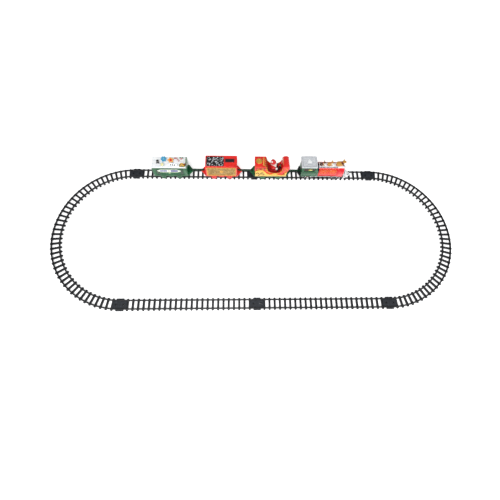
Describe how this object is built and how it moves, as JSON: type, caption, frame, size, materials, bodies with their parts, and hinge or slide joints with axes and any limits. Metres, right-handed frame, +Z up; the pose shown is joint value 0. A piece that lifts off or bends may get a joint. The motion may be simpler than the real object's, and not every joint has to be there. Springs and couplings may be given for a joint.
{
  "type": "toy train set",
  "caption": "Toy train set: snap-together oval track with a battery locomotive, a toy wagon, a box wagon and a sleigh wagon coupled behind it.",
  "frame": {"origin": "middle of the track oval, on the surface it lies on", "axes": "+X along the straight sides, the way the train heads; +Y towards the side the train stands on; +Z up"},
  "size_m": [1.0614, 0.4025, 0.079],
  "materials": {
    "track_plastic": "fine matt moulding texture",
    "wheel_plastic": "satin",
    "frame_black": "satin",
    "green_plastic": "semi gloss",
    "red_plastic": "semi gloss",
    "white_plastic": "semi gloss",
    "snow_white": "frosted",
    "silver_paint": "satin silver paint",
    "gold_plating": "satin gold",
    "yellow_plastic": "semi gloss",
    "black_panel": "printed panel",
    "window_tint": "tinted",
    "lens": "clear",
    "rod_silver": "plated plastic",
    "gear_nylon": "natural nylon",
    "steel": "plated steel",
    "cell_wrap": "printed sleeve",
    "board_green": "solder resist",
    "toy_paint": "painted vinyl",
    "reindeer_gold": "painted gold brown",
    "rider_paint": "painted vinyl",
    "sack_black": "painted vinyl"
  },
  "bodies": {
    "track": {"straight_track_front_left": "track_plastic", "straight_track_front_right": "track_plastic", "straight_track_back_right": "track_plastic", "straight_track_back_left": "track_plastic", "curve_track_right": "track_plastic", "curve_track_left": "track_plastic"},
    "locomotive": {"loco_frame": "frame_black", "loco_battery_door": "frame_black", "loco_screws": "steel", "loco_battery_cells": "cell_wrap", "loco_battery_contacts": "steel", "loco_cab": "green_plastic", "loco_cab_windows": "window_tint", "loco_cab_roof": "silver_paint", "loco_boiler_shell": "red_plastic", "loco_smokebox": "red_plastic", "loco_boiler_top": "white_plastic", "loco_front_cap": "white_plastic", "loco_headlamp": "lens", "loco_cowcatcher": "white_plastic", "loco_circuit_board": "board_green", "loco_speaker": "frame_black", "loco_motor": "steel", "loco_reindeer_rear": "reindeer_gold", "loco_reindeer_middle": "reindeer_gold", "loco_reindeer_front": "reindeer_gold"},
    "loco_rear_wheels": {"loco_rear_wheelset": "wheel_plastic", "loco_axle_gear": "gear_nylon"},
    "loco_front_wheels": {"loco_front_wheelset": "wheel_plastic"},
    "side_rod_left": {"loco_side_rod_left": "rod_silver"},
    "side_rod_right": {"loco_side_rod_right": "rod_silver"},
    "reduction_gear": {"loco_reduction_gear": "gear_nylon"},
    "motor_pinion": {"loco_motor_pinion": "gear_nylon"},
    "power_switch": {"loco_power_switch": "frame_black"},
    "green_wagon": {"green_wagon_frame": "green_plastic", "green_wagon_tub": "green_plastic", "green_wagon_plaques": "white_plastic", "green_wagon_snow_load": "snow_white", "green_wagon_toys": "toy_paint"},
    "red_wagon": {"red_wagon_frame": "red_plastic", "red_wagon_box": "red_plastic", "red_wagon_roof_panels": "black_panel", "red_wagon_plaques": "gold_plating"},
    "sleigh_wagon": {"sleigh_wagon_frame": "green_plastic", "sleigh_wagon_base": "yellow_plastic", "sleigh_wagon_body": "red_plastic", "sleigh_wagon_trim": "gold_plating", "sleigh_rider": "rider_paint", "sleigh_sack": "sack_black"},
    "green_wagon_rear_wheels": {"green_wagon_rear_wheelset": "wheel_plastic"},
    "green_wagon_front_wheels": {"green_wagon_front_wheelset": "wheel_plastic"},
    "green_wagon_coupling": {"green_wagon_drawbar": "green_plastic"},
    "red_wagon_rear_wheels": {"red_wagon_rear_wheelset": "wheel_plastic"},
    "red_wagon_front_wheels": {"red_wagon_front_wheelset": "wheel_plastic"},
    "red_wagon_coupling": {"red_wagon_drawbar": "green_plastic"},
    "sleigh_wagon_rear_wheels": {"sleigh_wagon_rear_wheelset": "wheel_plastic"},
    "sleigh_wagon_front_wheels": {"sleigh_wagon_front_wheelset": "wheel_plastic"},
    "sleigh_wagon_coupling": {"sleigh_wagon_drawbar": "green_plastic"}
  },
  "joints": [
    {"name": "train_run", "type": "slide", "parent": "track", "child": "locomotive", "axis": [1, 0, 0], "range_m": [-0.05, 0.05]},
    {"name": "loco_rear_axle", "type": "hinge", "parent": "locomotive", "child": "loco_rear_wheels", "pos_m": [0.15, 0.184, 0.01665], "axis": [0, 1, 0], "continuous": true},
    {"name": "loco_front_axle", "type": "hinge", "parent": "locomotive", "child": "loco_front_wheels", "pos_m": [0.225, 0.184, 0.01665], "axis": [0, 1, 0], "continuous": true},
    {"name": "side_rod_left_pin", "type": "hinge", "parent": "loco_rear_wheels", "child": "side_rod_left", "pos_m": [0.1528, 0.1979, 0.01665], "axis": [0, 1, 0], "continuous": true},
    {"name": "side_rod_right_pin", "type": "hinge", "parent": "loco_rear_wheels", "child": "side_rod_right", "pos_m": [0.15, 0.1701, 0.01945], "axis": [0, 1, 0], "continuous": true},
    {"name": "reduction_shaft", "type": "hinge", "parent": "locomotive", "child": "reduction_gear", "pos_m": [0.15, 0.184, 0.02715], "axis": [0, 1, 0], "continuous": true},
    {"name": "motor_shaft", "type": "hinge", "parent": "locomotive", "child": "motor_pinion", "pos_m": [0.15, 0.184, 0.03765], "axis": [0, 1, 0], "continuous": true},
    {"name": "power_switch_slide", "type": "slide", "parent": "locomotive", "child": "power_switch", "axis": [0, 1, 0], "range_m": [0, 0.004]},
    {"name": "green_wagon_run", "type": "slide", "parent": "track", "child": "green_wagon", "axis": [1, 0, 0], "range_m": [-0.05, 0.05]},
    {"name": "green_wagon_rear_axle", "type": "hinge", "parent": "green_wagon", "child": "green_wagon_rear_wheels", "pos_m": [-0.252, 0.184, 0.01665], "axis": [0, 1, 0], "continuous": true},
    {"name": "green_wagon_front_axle", "type": "hinge", "parent": "green_wagon", "child": "green_wagon_front_wheels", "pos_m": [-0.209, 0.184, 0.01665], "axis": [0, 1, 0], "continuous": true},
    {"name": "green_wagon_drawbar_lift", "type": "hinge", "parent": "green_wagon", "child": "green_wagon_coupling", "pos_m": [-0.1804, 0.184, 0.0269], "axis": [0, -1, 0], "range_deg": [0, 40]},
    {"name": "red_wagon_run", "type": "slide", "parent": "track", "child": "red_wagon", "axis": [1, 0, 0], "range_m": [-0.05, 0.05]},
    {"name": "red_wagon_rear_axle", "type": "hinge", "parent": "red_wagon", "child": "red_wagon_rear_wheels", "pos_m": [-0.113, 0.184, 0.01665], "axis": [0, 1, 0], "continuous": true},
    {"name": "red_wagon_front_axle", "type": "hinge", "parent": "red_wagon", "child": "red_wagon_front_wheels", "pos_m": [-0.07, 0.184, 0.01665], "axis": [0, 1, 0], "continuous": true},
    {"name": "red_wagon_drawbar_lift", "type": "hinge", "parent": "red_wagon", "child": "red_wagon_coupling", "pos_m": [-0.04515, 0.184, 0.0269], "axis": [0, -1, 0], "range_deg": [0, 40]},
    {"name": "sleigh_wagon_run", "type": "slide", "parent": "track", "child": "sleigh_wagon", "axis": [1, 0, 0], "range_m": [-0.05, 0.05]},
    {"name": "sleigh_wagon_rear_axle", "type": "hinge", "parent": "sleigh_wagon", "child": "sleigh_wagon_rear_wheels", "pos_m": [0.0225, 0.184, 0.01665], "axis": [0, 1, 0], "continuous": true},
    {"name": "sleigh_wagon_front_axle", "type": "hinge", "parent": "sleigh_wagon", "child": "sleigh_wagon_front_wheels", "pos_m": [0.0655, 0.184, 0.01665], "axis": [0, 1, 0], "continuous": true},
    {"name": "sleigh_wagon_drawbar_lift", "type": "hinge", "parent": "sleigh_wagon", "child": "sleigh_wagon_coupling", "pos_m": [0.0911, 0.184, 0.0269], "axis": [0, -1, 0], "range_deg": [0, 40]}
  ],
  "couplings": [
    {"joint": "loco_rear_axle", "follows": "train_run", "rad_per_m": 125},
    {"joint": "loco_front_axle", "follows": "train_run", "rad_per_m": 125},
    {"joint": "side_rod_left_pin", "follows": "train_run", "rad_per_m": -125},
    {"joint": "side_rod_right_pin", "follows": "train_run", "rad_per_m": -125},
    {"joint": "reduction_shaft", "follows": "train_run", "rad_per_m": -312.5},
    {"joint": "motor_shaft", "follows": "train_run", "rad_per_m": 1000},
    {"joint": "green_wagon_run", "follows": "train_run", "ratio": 1},
    {"joint": "green_wagon_rear_axle", "follows": "train_run", "rad_per_m": 125},
    {"joint": "green_wagon_front_axle", "follows": "train_run", "rad_per_m": 125},
    {"joint": "red_wagon_run", "follows": "train_run", "ratio": 1},
    {"joint": "red_wagon_rear_axle", "follows": "train_run", "rad_per_m": 125},
    {"joint": "red_wagon_front_axle", "follows": "train_run", "rad_per_m": 125},
    {"joint": "sleigh_wagon_run", "follows": "train_run", "ratio": 1},
    {"joint": "sleigh_wagon_rear_axle", "follows": "train_run", "rad_per_m": 125},
    {"joint": "sleigh_wagon_front_axle", "follows": "train_run", "rad_per_m": 125}
  ]
}
